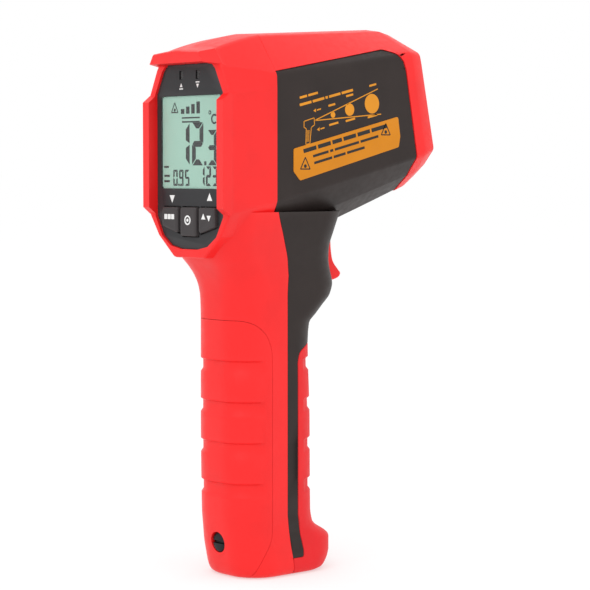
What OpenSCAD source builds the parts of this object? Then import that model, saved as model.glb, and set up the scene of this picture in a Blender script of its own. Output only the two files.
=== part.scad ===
// Pistol-grip infrared thermometer, built as its separate pieces.
// Millimetres. +Z up, +Y towards the muzzle, +X to the right of the user.
// The origin is the centre of the handle, on the plane of its flat foot.

/* [Head] */
// Width of the head across its flat sides
head_w = 48; // [47:0.5:50]
// Height of the top edge of the muzzle above the foot
muzzle_top = 208.5; // [206:0.5:212]
// Height of the middle of the muzzle above the foot
muzzle_z = 180; // [178:0.5:182]
// Distance from the handle's axis forward to the middle of the muzzle
muzzle_y = 68.9; // [66:0.5:72]
// Angle by which the muzzle looks up
muzzle_tilt = 12; // [9:0.5:14]
// Distance from the handle's axis back to the rim of the display
rim_y = 33; // [32.5:0.1:33.5]
// Distance that the two cheeks stand behind the rim
cheek_h = 3; // [2:0.5:3.5]
// Distance that the visor stands behind the rim
visor_h = 6; // [4:0.5:7]

/* [Display] */
// Width of the recessed display panel
panel_w = 40.6; // [39:0.2:41]
// Width of the liquid crystal window
lcd_w = 33.6; // [31:0.2:35]
// Height of the liquid crystal window
lcd_h = 34.6; // [32:0.2:35]
// Travel of the three keys
key_travel = 0.8; // [0.5:0.1:0.9]

/* [Handle] */
// Width of the handle
grip_w = 34; // [33:0.5:36]
// Distance from the handle's axis back to its rear face
grip_back = 21; // [20.5:0.1:21.5]
// Distance from the handle's axis forward to its front face
grip_front = 19.2; // [18.5:0.1:20]
// Corner radius of the handle's section
grip_r = 13.5; // [12:0.5:14]
// Distance that the toe of the foot reaches in front of the handle's axis
toe_front = 28.8; // [26:0.2:30]
// Number of finger grooves on each side
groove_n = 4; // [2:1:4]

/* [Shell] */
// Wall thickness of the mouldings
wall = 2.6; // [2.4:0.1:2.8]
// Thickness of the soft grip moulded over the handle's front
skin = 1.4; // [1.2:0.1:1.5]
// Depth by which the dark side panels lie under the red cover's surface
panel_drop = 0.3; // [0.1:0.1:0.5]

/* [Trigger] */
// Width of the trigger
trigger_w = 13; // [11:0.5:14]
// Radius of the trigger's pin
pin_r = 1.5; // [1.2:0.1:1.8]

/* [Optics] */
// Radius of the infrared lens
lens_r = 8; // [6:0.5:9]
// Radius of the laser aperture
laser_r = 2.5; // [1.5:0.25:3]

/* [Hidden] */
$fn = 48;
half_w = head_w / 2;
seam_y = -10.2;
handle_seam_y = 0.8;
panel_half = panel_w / 2;
panel_face_y = -rim_y + 1;
panel_t = 2;
panel_top = 192.6;
panel_bottom = 124.2;
cheek_low = 139.6;
cheek_high = 178.8;
bezel_t = 0.862;
bend_t = 0.917;
muzzle_inset = 1.6;
cover_edge_y = -6.8;
cover_top = 97.5;
strip_front_y = 6;
grip_top = 88;
strip_low = 6.4;
screw_z = 13;
insert_y = -10.8;
insert_r = 3.2;
screw_x = 11;
screw_rows = [103.5, 111.5];
groove_pitch = 15.4;
groove_z0 = 31;
groove_h = 5.3;
groove_d = 0.9;
trigger_pin_y = 25.5;
trigger_pin_z = 132.6;
slot_half = trigger_w / 2 + 0.4;
key_w = 9.4;
key_gap = 0.35;
board_low = 129;
board_w = 33;
key_pitch = 11.4;
key_high = 139.2;
key_low = 130.8;
lcd_z = 163.8;
window_t = 1.2;
strip_h = 2.4;
pcb_y = -22.5;
battery_size = [26.5, 17.5, 48.5];
battery_at = [0, -3.2, 22];
tilt_rate = tan(muzzle_tilt);

// ---- Outlines and lofts ----

function unit(v) = v / norm(v);
function mix(a, b, t) = a + (b - a) * t;
function reversed(list) = [for (i = [len(list) - 1:-1:0]) list[i]];

// The k + 1 points that round corner b, which lies between a and c.
function corner_arc(a, b, c, r, k) =
    let (
        u = unit(a - b),
        v = unit(c - b),
        half = acos(max(-1, min(1, u * v))) / 2
    )
    half > 89
    ? [for (i = [0:k]) b + u * 0.6 * (1 - 2 * i / k)]
    : let (
        run = min(r / tan(half), 0.46 * norm(a - b), 0.46 * norm(c - b)),
        rr = run * tan(half),
        centre = b + unit(u + v) * rr / sin(half),
        s = b + u * run - centre,
        e = b + v * run - centre,
        start = atan2(s.y, s.x),
        turn = atan2(s.x * e.y - s.y * e.x, s * e)
    )
    [for (i = [0:k]) centre + rr * [cos(start + turn * i / k), sin(start + turn * i / k)]];

function rounded(pts, r, k) = [
    for (i = [0:len(pts) - 1])
        each corner_arc(
            pts[(i + len(pts) - 1) % len(pts)], pts[i], pts[(i + 1) % len(pts)], r, k)
];

// A closed convex outline moved inwards by d; its points run clockwise.
function inset(pts, d) = [
    for (i = [0:len(pts) - 1])
        let (
            a = unit(pts[i] - pts[(i + len(pts) - 1) % len(pts)]),
            b = unit(pts[(i + 1) % len(pts)] - pts[i]),
            na = [a.y, -a.x],
            nb = [b.y, -b.x]
        )
        pts[i] + d * (na + nb) / (1 + na * nb)
];

// A solid through rings that all have the same number of points.
module loft(rings) {
    n = len(rings[0]);
    m = len(rings);
    polyhedron(
        points = [for (ring = rings) each ring],
        faces = concat(
            [for (i = [1:n - 2]) [0, i, i + 1]],
            [for (i = [1:n - 2]) [(m - 1) * n, (m - 1) * n + i + 1, (m - 1) * n + i]],
            [
                for (j = [0:m - 2])
                    for (i = [0:n - 1])
                        let (k = (i + 1) % n)
                        each [
                            [j * n + i, (j + 1) * n + i, (j + 1) * n + k],
                            [j * n + i, (j + 1) * n + k, j * n + k],
                        ]
            ]
        ));
}

// A round tube along a path of points.
module tube(path, r, sides = 8) {
    n = len(path);
    loft([
        for (i = [0:n - 1])
            let (
                along = unit(path[min(i + 1, n - 1)] - path[max(i - 1, 0)]),
                side = unit(cross(abs(along.x) < 0.8 ? [1, 0, 0] : [0, 1, 0], along)),
                up = cross(along, side)
            )
            [
                for (s = [0:sides - 1])
                    path[i] + r * (side * cos(360 * s / sides) - up * sin(360 * s / sides))
            ]
    ]);
}

// ---- The head's sections ----
// Each is its right half from the top's corner down, as [x, z].

rim_half = [[14.6, 197.3], [19.3, 190.9], [half_w, 181], [half_w, 137], [18.5, 129], [9, 121]];
mid_half = [
    [13.8, 201.7], [22.4, 189.8], [half_w, 182.4], [half_w, 140.5], [18.2, 129.6], [8.6, 120.6]
];
seam_half = [
    [13, 203.5], [half_w - 0.2, 188.6], [half_w, 183.4], [half_w, 142], [17.8, 130], [8.4, 120]
];
muzzle_half = [
    [6.6, muzzle_top], [half_w - 0.2, 200], [half_w, 195], [half_w, 161.2], [16.6, 154.6],
    [8.4, 149.3]
];
crown = 1;

function whole(half) = concat(
    [[0, half[0].y + crown]], half, [for (p = reversed(half)) [-p.x, p.y]]);

function head_ring(half, y, d, k, lean = 0) = [
    for (p = rounded(inset(whole(half), d), 3.2 - d / 2, k)) [p.x, y + lean * (muzzle_z - p.y), p.y]
];

// The rear part of the head, from the rim at y0 to the seam.
module rear_head(d, y0, k) {
    loft([
        head_ring(rim_half, y0, d, k),
        head_ring(mid_half, mix(-rim_y, seam_y, 0.62), d, k),
        head_ring(seam_half, seam_y, d, k),
    ]);
}

function barrel_half(t) = [for (i = [0:len(seam_half) - 1]) mix(seam_half[i], muzzle_half[i], t)];
function barrel_ring(t, d, k) =
    head_ring(barrel_half(t), mix(seam_y, muzzle_y, t), d, k, t * tilt_rate);

// The barrel, from the seam at t = 0 to the muzzle at t = 1.
module barrel(d, t0, t1, k) {
    loft(concat(
        [for (i = [0:3]) barrel_ring(mix(t0, bend_t, i / 3), d, k)],
        [barrel_ring(t1, d + muzzle_inset * (t1 - bend_t) / (1 - bend_t), k)]));
}

// ---- The handle's sections ----
// Each station is [z, half width, rear y, front y, corner radius].

handle_rows = [
    [0, grip_w / 2 - 2.2, -15.2, toe_front - 4.6, grip_r - 2],
    [0.8, grip_w / 2 - 0.9, -16.4, toe_front - 3, grip_r - 1],
    [2.6, grip_w / 2, -17.4, toe_front - 1.6, grip_r],
    [7, grip_w / 2 + 0.2, -18.4, toe_front, grip_r],
    [12, grip_w / 2 + 0.2, -19.4, toe_front, grip_r],
    [18.5, grip_w / 2, -20.2, grip_front + 1.4, grip_r],
    [24, grip_w / 2, -grip_back + 0.3, grip_front + 0.3, grip_r],
    [60, grip_w / 2, -grip_back - 0.1, grip_front, grip_r],
    [88, grip_w / 2, -grip_back, grip_front - 1, grip_r],
    [95.5, grip_w / 2, -grip_back, grip_front - 0.2, grip_r],
    [98.5, grip_w / 2, -grip_back, 22, grip_r],
    [102.4, grip_w / 2, -grip_back - 0.1, 26, grip_r],
    [106, grip_w / 2, -grip_back - 0.3, 29.5, grip_r],
    [110, grip_w / 2 + 0.2, -22, 30.6, grip_r],
    [113.5, grip_w / 2 + 0.5, -23.4, 29.6, grip_r],
    [117, grip_w / 2 + 1, -25.6, 28.2, grip_r],
    [120.5, grip_w / 2 + 1.8, -28.4, 27.2, grip_r],
    [125, grip_w / 2 + 3, -31, 26.6, grip_r],
    [131, grip_w / 2 + 4.8, -32.4, 27.4, grip_r],
    [138, grip_w / 2 + 6.4, -32.6, 29, grip_r],
];

function handle_ring(row, d, k) = [
    for (p = rounded(
        [
            [row[1] - d, row[3] - d], [-row[1] + d, row[3] - d], [-row[1] + d, row[2] + d],
            [row[1] - d, row[2] + d],
        ],
        row[4] - d, k))
        [p.x, p.y, row[0]]
];

// The handle with its neck. d moves its surface inwards, and floor_z is where it starts.
module handle(d, floor_z, k) {
    loft(concat(
        [handle_ring([floor_z, each [for (i = [1:4]) handle_rows[floor_z > 0 ? 2 : 0][i]]], d, k)],
        [for (row = handle_rows) if (row[0] > floor_z) handle_ring(row, d, k)]));
}

// ---- The hollow inside, and the parting regions ----

module inner_body() {
    union() {
        rear_head(wall, -rim_y + 5, 1);
        barrel(wall, -0.02, 1.04, 1);
        handle(wall, wall, 3);
    }
}

// A prism through the whole width, from an outline in [y, z].
module side_prism(outline, w = 90) {
    translate([-w / 2, 0, 0]) rotate([90, 0, 90]) linear_extrude(w) polygon(outline);
}

parting_line = [
    [seam_y, 230], [seam_y, 141], [-7.6, 134.5], [-0.8, 120.5], [handle_seam_y, 116],
    [handle_seam_y, -5],
];
module front_side() { side_prism(concat(parting_line, [[100, -5], [100, 230]])); }
module rear_side() { side_prism(concat(parting_line, [[-60, -5], [-60, 230]])); }

module cover_side() {
    side_prism([
        [-60, cover_top], [-18, cover_top], [-13.4, 95.6], [-9.6, 92], [-7.4, 87.4],
        [cover_edge_y, 81], [cover_edge_y, 21], [-7.6, 14], [-10.6, 7.6], [-15.4, -5], [-60, -5],
    ]);
}

module grip_side() {
    side_prism([
        [strip_front_y, 82], [strip_front_y + 1, 84.4], [15, grip_top], [50, grip_top],
        [50, -5], [handle_seam_y, -5], [handle_seam_y, strip_low], [strip_front_y, strip_low],
    ]);
}

// The point of the bezel's plane at height z, as [y, z].
function bezel_point(z) = [
    mix(seam_y, muzzle_y, bezel_t) + bezel_t * tilt_rate * (muzzle_z - z), z
];

// What the red cover takes of the barrel: its top and the ring round the muzzle.
module red_side() {
    side_prism([
        [seam_y - 1, 189.6], [47.6, 200], [51.6, 198.6], [54.4, 195.6], bezel_point(191),
        bezel_point(120), [140, 120], [140, 240], [seam_y - 1, 240],
    ]);
}

module barrel_shell(k = 2) {
    difference() {
        barrel(0, 0, 1, k);
        barrel(wall, -0.02, 1.04, 1);
    }
}

// ---- Display opening ----

function panel_outline(d) = inset(
    [
        [-13.4, panel_top], [13.4, panel_top], [15.8, 190.4], [panel_half, 181.6],
        [panel_half, 136.4], [16.2, 129], [11, 125.4], [5, panel_bottom], [-5, panel_bottom],
        [-11, 125.4], [-16.2, 129], [-panel_half, 136.4], [-panel_half, 181.6], [-15.8, 190.4],
    ], d);

// A prism along +Y from y0 to y1, from an outline in [x, z].
module facing(y0, y1) {
    translate([0, y1, 0]) rotate([90, 0, 0]) linear_extrude(y1 - y0) children();
}

// ---- Housings ----

module cheek(side) {
    intersection() {
        scale([side, 1, 1])
            side_prism([
                [-rim_y - cheek_h, cheek_low], [-rim_y - cheek_h, cheek_high],
                [-rim_y + 0.2, cheek_high + 3], [-rim_y + 0.2, cheek_low - 3],
            ]);
        translate([side > 0 ? panel_half : -half_w, -60, 120])
            cube([half_w - panel_half, 60, 80]);
    }
}

module visor() {
    translate([-14.6, 0, 0])
        rotate([90, 0, 90])
            linear_extrude(29.2)
                polygon([
                    [-rim_y - visor_h, panel_top], [-rim_y - visor_h + 1, 196],
                    [-rim_y + 0.4, 197.6], [-rim_y + 0.4, panel_top],
                ]);
}

// The bosses that the screws between the two halves run in.
module screw_bosses(y0, y1, hole_r) {
    for (side = [-1, 1], z = screw_rows)
        translate([side * screw_x, y0, z])
            rotate([-90, 0, 0])
                difference() {
                    cylinder(r = 3.6, h = y1 - y0);
                    translate([0, 0, -1]) cylinder(r = hole_r, h = y1 - y0 + 2);
                }
}

// The post on the rear housing's floor that carries the brass insert.
module insert_post() {
    difference() {
        translate([-5, insert_y, wall - 0.4]) cube([10, 6, screw_z + 5 - wall]);
        translate([0, insert_y - 1, screw_z]) rotate([-90, 0, 0]) cylinder(r = insert_r, h = 8);
    }
}

module rear_housing() {
    color([0.87, 0.16, 0.16])
    union() {
        rear_shell();
        insert_post();
        screw_bosses(-4.2, handle_seam_y, 1.4);
    }
}

module rear_shell() {
    difference() {
        union() {
            intersection() {
                union() {
                    rear_head(0, -rim_y, 2);
                    handle(0, 0, 4);
                }
                rear_side();
            }
            cheek(1);
            cheek(-1);
            visor();
        }
        inner_body();
        cover_side();
        facing(-60, -rim_y + 3.2) polygon(panel_outline(0));
        facing(-60, -rim_y + 6) polygon(panel_outline(1.4));
    }
}

module front_housing() {
    color([0.23, 0.2, 0.19])
    difference() {
        union() {
            difference() {
                intersection() {
                    union() {
                        barrel(panel_drop, 0, 1, 2);
                        handle(0, 0, 4);
                    }
                    front_side();
                }
                inner_body();
                red_side();
                intersection() {
                    grip_side();
                    difference() {
                        translate([-30, -10, -1]) cube([60, 60, 100]);
                        handle(skin, skin, 4);
                    }
                }
            }
            trigger_ears();
            screw_bosses(handle_seam_y, 9, 1.25);
        }
        trigger_slot();
        trigger_bore();
    }
}

module trigger_slot() {
    translate([-slot_half, 10, trigger_pin_z - 23.4]) cube([slot_half * 2, 40, 21.4]);
    translate([-slot_half, 10, trigger_pin_z - 5]) cube([slot_half * 2, 18.5, 10]);
}

module trigger_bore() {
    translate([-12, trigger_pin_y, trigger_pin_z]) rotate([0, 90, 0]) cylinder(r = pin_r, h = 24);
}

// The two ears inside the housing that carry the trigger's pin.
module trigger_ears() {
    for (side = [-1, 1])
        translate([side * (slot_half + 1.2) - 1.2, trigger_pin_y - 4, trigger_pin_z - 4])
            cube([2.4, 8, 8]);
}

module top_cover() {
    color([0.87, 0.16, 0.16])
    intersection() {
        barrel_shell();
        red_side();
    }
}

// What the finger grooves take off: bands of the handle's outermost layer.
module grooves(low_y, high_y) {
    difference() {
        for (i = [0:groove_n - 1])
            translate([-30, low_y, groove_z0 + i * groove_pitch])
                cube([60, high_y - low_y, groove_h]);
        handle(groove_d, groove_d, 4);
    }
}

module front_grip() {
    color([0.86, 0.2, 0.2])
    difference() {
        intersection() {
            handle(0, 0, 4);
            grip_side();
        }
        handle(skin, skin, 4);
        grooves(9, 40);
    }
}

module battery_cover() {
    color([0.87, 0.16, 0.16])
    difference() {
        union() {
            difference() {
                intersection() {
                    handle(0, 0, 4);
                    cover_side();
                }
                handle(wall, wall, 3);
                grooves(-40, -11);
            }
            translate([0, -19, screw_z]) rotate([-90, 0, 0]) cylinder(r = 5, h = 8);
        }
        translate([0, -30, screw_z]) rotate([-90, 0, 0]) cylinder(r = 4, h = 13.2);
        translate([0, -30, screw_z]) rotate([-90, 0, 0]) cylinder(r = 1.7, h = 24);
    }
}

// ---- Fasteners ----

module cover_screw() {
    color([0.12, 0.12, 0.12])
    translate([0, -19.2, screw_z])
        rotate([-90, 0, 0])
            difference() {
                union() {
                    cylinder(r = 3.7, h = 2.3);
                    cylinder(r = 1.5, h = 11.2);
                }
                translate([-5, -0.45, -1]) cube([10, 0.9, 2.2]);
            }
}

module cover_insert() {
    color([0.8, 0.65, 0.3])
    translate([0, insert_y, screw_z])
        rotate([-90, 0, 0])
            difference() {
                cylinder(r = insert_r, h = 6);
                translate([0, 0, -1]) cylinder(r = 1.95, h = 6);
            }
}

module housing_screws() {
    color([0.6, 0.6, 0.62])
    for (side = [-1, 1])
        for (z = screw_rows)
            translate([side * screw_x, -6, z])
                rotate([-90, 0, 0]) {
                    cylinder(r = 2.4, h = 1.8);
                    cylinder(r = 1.25, h = 12);
                }
}

// ---- Display, board and keys ----

module key_outline(d, low_in, low_out) {
    polygon(inset(
        [[-key_w / 2, key_high], [key_w / 2, key_high], [key_w / 2, low_out], [-key_w / 2, low_in]],
        d));
}

module key_shape(d, place) {
    if (place == 0)
        key_outline(d, key_low - 1.2, key_low - 1.2);
    else
        translate([place * key_pitch, 0])
            key_outline(d, place < 0 ? key_low + 2.6 : key_low, place < 0 ? key_low : key_low + 2.6);
}

module display_panel() {
    color([0.2, 0.18, 0.18])
    difference() {
        facing(panel_face_y, panel_face_y + panel_t) polygon(panel_outline(0.1));
        facing(-50, 0) translate([-lcd_w / 2, lcd_z - lcd_h / 2]) square([lcd_w, lcd_h]);
        for (place = [-1:1]) facing(-50, 0) key_shape(-key_gap, place);
        facing(-50, 0) translate([-6.6, 187]) square([2.2, 3.2]);
        facing(-50, 0) translate([3.2, 187]) square([2.2, 3.2]);
    }
}

module lcd_window() {
    color([0.8, 0.86, 0.84, 0.4])
    facing(panel_face_y + 0.2, panel_face_y + 0.2 + window_t)
        translate([-lcd_w / 2 + 0.05, lcd_z - lcd_h / 2 + 0.05])
            square([lcd_w - 0.1, lcd_h - 0.1]);
}

module lcd_glass() {
    color([0.64, 0.78, 0.73])
    facing(panel_face_y + panel_t + 0.2, panel_face_y + panel_t + 2)
        translate([-lcd_w / 2 - 0.8, lcd_z - lcd_h / 2 - 0.8])
            square([lcd_w + 1.6, lcd_h + 1.6]);
}

module lcd_backlight() {
    color([0.92, 0.93, 0.9])
    facing(panel_face_y + panel_t + 2, panel_face_y + panel_t + 4.6)
        translate([-lcd_w / 2 - 0.8, lcd_z - lcd_h / 2 + strip_h])
            square([lcd_w + 1.6, lcd_h + 0.8 - strip_h]);
}

// The rubber strip that joins the glass's contacts to the board's.
module contact_strip() {
    color([0.85, 0.5, 0.55])
    facing(panel_face_y + panel_t + 2, pcb_y)
        translate([-lcd_w / 2 + 1, lcd_z - lcd_h / 2 - 0.6]) square([lcd_w - 2, strip_h]);
}

// The frame that holds the glass between the panel and the board.
module lcd_frame() {
    color([0.15, 0.15, 0.15])
    facing(panel_face_y + panel_t + 2, pcb_y)
        difference() {
            translate([-lcd_w / 2 - 1.8, lcd_z - lcd_h / 2 - 1.8])
                square([lcd_w + 3.6, lcd_h + 3.6]);
            translate([-lcd_w / 2 - 0.85, lcd_z - lcd_h / 2 - 0.85])
                square([lcd_w + 1.7, lcd_h + 1.7]);
        }
}

module main_board() {
    color([0.1, 0.4, 0.2])
    difference() {
        facing(pcb_y, pcb_y + 1.6) translate([-board_w / 2, board_low]) square([board_w, 62]);
        for (x = [-14, 14])
            translate([x, pcb_y - 1, 187.6]) rotate([-90, 0, 0]) cylinder(r = 1.4, h = 4);
    }
}

// One key: a cap through the panel, and a flange that the panel holds back.
module key(place) {
    color([0.24, 0.22, 0.22])
    union() {
        facing(panel_face_y - 1.6, panel_face_y + panel_t + 0.1) key_shape(0, place);
        facing(panel_face_y + panel_t + 0.1, panel_face_y + panel_t + 1)
            translate([-0.4 * place, 0]) key_shape(-0.6, place);
    }
}

module key_left() { key(-1); }
module key_centre() { key(0); }
module key_right() { key(1); }

module keypad_mat() {
    dome_h = pcb_y - 1 - (panel_face_y + panel_t + 1) - key_travel - 0.4;
    color([0.75, 0.76, 0.76])
    union() {
        facing(pcb_y - 1.2, pcb_y) translate([-board_w / 2, board_low]) square([board_w, 13]);
        for (place = [-1:1])
            translate([place * key_pitch, pcb_y - 1, 135])
                rotate([90, 0, 0]) cylinder(r1 = 3.2, r2 = 2.4, h = dome_h);
    }
}

module light_pipe(x) {
    color([0.85, 0.85, 0.85, 0.6])
    facing(panel_face_y + 0.4, panel_face_y + panel_t + 3)
        translate([x + 0.1, 187.1]) square([2, 3]);
}

module light_pipe_high() { light_pipe(-6.6); }
module light_pipe_low() { light_pipe(3.2); }

module buzzer() {
    color([0.1, 0.1, 0.1])
    translate([0, pcb_y + 1.6, 180])
        rotate([-90, 0, 0])
            difference() {
                cylinder(r = 6, h = 5.5);
                translate([0, 0, 4.5]) cylinder(r = 1, h = 2);
            }
}

// ---- Optics, on the barrel's own axis ----

module on_axis() {
    translate([0, muzzle_y, muzzle_z]) rotate([muzzle_tilt - 90, 0, 0]) children();
}

nose_t = 0.92;
nose_rise = (muzzle_y - mix(seam_y, muzzle_y, nose_t)) * sin(muzzle_tilt);
function nose_outline(d) = [
    for (p = rounded(inset(whole(barrel_half(nose_t)), d), 3, 2))
        [p.x, -(p.y - muzzle_z) / cos(muzzle_tilt) - nose_rise]
];

lens_at = [0, 2, 0];
laser_at = [0, -14, 0];

module nose_insert() {
    color([0.1, 0.1, 0.1])
    on_axis()
        difference() {
            translate([0, 0, -11]) linear_extrude(4) polygon(nose_outline(wall + 0.25));
            translate(lens_at + [0, 0, -12]) cylinder(r = lens_r + 1.2, h = 8);
            translate(lens_at + [0, 0, -10]) cylinder(r1 = lens_r + 1.2, r2 = lens_r + 4.2, h = 3.2);
            translate(laser_at + [0, 0, -12]) cylinder(r = laser_r, h = 8);
        }
}

module lens_ring() {
    color([0.15, 0.15, 0.15])
    on_axis()
        translate(lens_at + [0, 0, -10.8])
            difference() {
                cylinder(r = lens_r + 1.15, h = 1.6);
                translate([0, 0, -1]) cylinder(r = lens_r - 0.6, h = 4);
            }
}

module ir_lens() {
    color([0.35, 0.3, 0.4])
    on_axis()
        translate(lens_at)
            rotate_extrude()
                polygon(concat(
                    [[0, -13.4], [lens_r, -13.4], [lens_r, -10.9]],
                    [for (a = [0:15:90]) [(lens_r - 0.8) * cos(a), -10.9 + 1.4 * sin(a)]]));
}

module optical_tube() {
    color([0.2, 0.2, 0.21])
    on_axis()
        translate(lens_at + [0, 0, -52])
            difference() {
                cylinder(r = lens_r + 3, h = 41);
                translate([0, 0, 3]) cylinder(r = lens_r - 1, h = 40);
                translate([0, 0, 38.6]) cylinder(r = lens_r + 0.02, h = 4);
                translate([0, 0, -1]) cylinder(r = 2.4, h = 10);
            }
}

module ir_sensor() {
    color([0.75, 0.76, 0.78])
    on_axis()
        translate(lens_at + [0, 0, -56.4])
            union() {
                cylinder(r = 4.6, h = 0.8);
                cylinder(r = 4.1, h = 4.2);
                for (a = [45:90:315])
                    rotate([0, 0, a]) translate([2.5, 0, -2.6]) cylinder(r = 0.25, h = 3);
            }
}

module sensor_board() {
    color([0.1, 0.4, 0.2])
    on_axis()
        translate(lens_at + [0, 0, -60.6])
            difference() {
                translate([-12, -10, 0]) cube([24, 20, 1.6]);
                for (a = [45:90:315])
                    rotate([0, 0, a]) translate([2.5, 0, -1]) cylinder(r = 0.35, h = 4);
            }
}

module laser_module() {
    color([0.8, 0.65, 0.3])
    on_axis()
        translate(laser_at + [0, 0, -29])
            difference() {
                cylinder(r = 3.2, h = 18);
                translate([0, 0, 15]) cylinder(r = laser_r - 0.7, h = 4);
            }
}

// ---- Trigger ----

module trigger() {
    color([0.87, 0.16, 0.16])
    difference() {
        translate([-trigger_w / 2, 0, 0])
            rotate([90, 0, 90])
                linear_extrude(trigger_w)
                    polygon([
                        [trigger_pin_y - 3, trigger_pin_z + 2.4],
                        [trigger_pin_y + 1.6, trigger_pin_z + 2.4],
                        [trigger_pin_y + 3, trigger_pin_z - 1.2],
                        [31, 130.6], [32.2, 127], [32.6, 122.5], [33.6, 118.2], [36.2, 115],
                        [37.6, 113.4], [36.6, 111.8], [34.2, 110.9], [30.2, 110.5],
                        [27.4, 111.4], [28, 116], [26.4, 122], [24.4, 128], [22.5, 130.2],
                    ]);
        trigger_bore();
        translate([-4.5, trigger_pin_y, trigger_pin_z]) rotate([0, 90, 0]) cylinder(r = 3.6, h = 9);
        translate([-4.5, 15, trigger_pin_z - 8]) cube([9, trigger_pin_y - 15, 14]);
    }
}

module trigger_pin() {
    color([0.7, 0.7, 0.72])
    translate([-9.5, trigger_pin_y, trigger_pin_z])
        rotate([0, 90, 0]) cylinder(r = pin_r - 0.04, h = 19);
}

module trigger_spring() {
    turns = 5;
    color([0.7, 0.7, 0.72])
    tube(concat(
        [[-3.4, trigger_pin_y - 9, trigger_pin_z + 3.2], [-3.4, trigger_pin_y - 3, trigger_pin_z + 2.9]],
        [
            for (i = [2:turns * 12])
                [
                    -3.4 + 6.8 * i / (turns * 12),
                    trigger_pin_y - 2.6 * cos(90 - 30 * i),
                    trigger_pin_z + 2.6 * sin(90 - 30 * i),
                ]
        ]), 0.35, 6);
}

module trigger_switch() {
    color([0.15, 0.15, 0.16])
    union() {
        translate([-6.2, 16.8, 112]) cube([12.4, 6.4, 7]);
        translate([-1.6, 23.2, 114]) cube([3.2, 1.4, 2.6]);
    }
}

// ---- Battery and its parts ----

module battery() {
    color([0.2, 0.22, 0.25])
    translate(battery_at)
        union() {
            translate([-battery_size.x / 2, -battery_size.y / 2, 0])
                linear_extrude(battery_size.z - 2.6)
                    polygon([
                        for (p = rounded(
                            [[0, 0], [battery_size.x, 0], battery_size, [0, battery_size.y]], 2, 4))
                            [p.x, p.y]
                    ]);
            for (side = [-1, 1])
                translate([side * 6.4, 0, battery_size.z - 2.6])
                    cylinder(r = side < 0 ? 2.9 : 3.9, h = 2.6);
        }
}

module battery_snap() {
    color([0.08, 0.08, 0.08])
    translate(battery_at + [0, 0, battery_size.z + 0.1])
        translate([-12.8, -5.6, 0]) cube([25.6, 11.2, 3.4]);
}

module battery_leads() {
    top = battery_at.z + battery_size.z + 3.6;
    for (side = [-1, 1])
        color(side < 0 ? [0.08, 0.08, 0.08] : [0.75, 0.1, 0.1])
        tube([
            [side * 4, -4, top], [side * 4, -4, top + 8], [side * 4.4, -3.6, top + 18],
            [side * 5, -4.4, top + 28], [side * 5.6, -8, top + 38], [side * 6, -13, top + 46],
            [side * 6, -16.4, top + 52], [side * 6, -18.4, top + 57], [side * 6, -20.2, top + 60.4],
        ], 0.65, 8);
}

module battery_tray() {
    color([0.2, 0.2, 0.2])
    difference() {
        translate([-13.9, battery_at.y - 3, 19]) cube([27.8, 13.2, 56]);
        translate([-13.4, battery_at.y - 10, 21.6]) cube([26.8, 18.9, 60]);
    }
}

// ---- Label ----

module side_label() {
    color([0.84, 0.55, 0.12])
    translate([half_w - panel_drop, 0, 0])
        rotate([90, 0, 90])
            linear_extrude(0.25)
                polygon([
                    [-2.2, 161.4], [51.4, 174.2], [52.6, 166.6], [51.8, 162.4], [1, 149.6],
                    [-2.2, 153],
                ]);
}

rear_housing();
front_housing();
top_cover();
front_grip();
battery_cover();
cover_screw();
cover_insert();
housing_screws();
display_panel();
lcd_window();
lcd_glass();
lcd_backlight();
lcd_frame();
contact_strip();
main_board();
key_left();
key_centre();
key_right();
keypad_mat();
light_pipe_high();
light_pipe_low();
buzzer();
nose_insert();
lens_ring();
ir_lens();
optical_tube();
ir_sensor();
sensor_board();
laser_module();
trigger();
trigger_pin();
trigger_spring();
trigger_switch();
battery();
battery_snap();
battery_leads();
battery_tray();
side_label();
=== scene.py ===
import math

import bmesh
import bpy
import numpy as np
from mathutils import Matrix, Vector


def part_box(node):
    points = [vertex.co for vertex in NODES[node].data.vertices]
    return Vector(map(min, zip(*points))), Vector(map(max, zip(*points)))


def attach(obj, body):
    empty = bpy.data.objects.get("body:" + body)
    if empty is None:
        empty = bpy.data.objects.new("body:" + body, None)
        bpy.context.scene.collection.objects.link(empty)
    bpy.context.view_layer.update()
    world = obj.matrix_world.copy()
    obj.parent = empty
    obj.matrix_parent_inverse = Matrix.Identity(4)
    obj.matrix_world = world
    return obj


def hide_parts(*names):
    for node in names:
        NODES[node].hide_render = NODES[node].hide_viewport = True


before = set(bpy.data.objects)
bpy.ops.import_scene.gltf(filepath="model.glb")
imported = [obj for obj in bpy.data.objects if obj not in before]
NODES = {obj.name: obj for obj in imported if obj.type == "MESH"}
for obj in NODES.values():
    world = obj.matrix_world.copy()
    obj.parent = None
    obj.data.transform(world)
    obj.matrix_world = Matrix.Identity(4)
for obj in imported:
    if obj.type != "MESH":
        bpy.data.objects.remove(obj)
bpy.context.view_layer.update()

# Everything is drawn in millimetres in the frame's own axes and scaled to metres at the end.
MM = 0.001
X, Y, Z = Vector((1, 0, 0)), Vector((0, 1, 0)), Vector((0, 0, 1))


def span(node):
    """The two corners of a CAD node, in millimetres."""
    low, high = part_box(node)
    return low / MM, high / MM


# ---- Dimensions taken from the frame ----

rear_high = span("rear_housing")[1]
panel_low, panel_high = span("display_panel")
glass_low, glass_high = span("lcd_glass")
window_low, window_high = span("lcd_window")
cover_high = span("battery_cover")[1]
grip_high = span("front_grip")[1]
top_low = span("top_cover")[0]
screw_low, screw_high = span("cover_screw")

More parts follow.
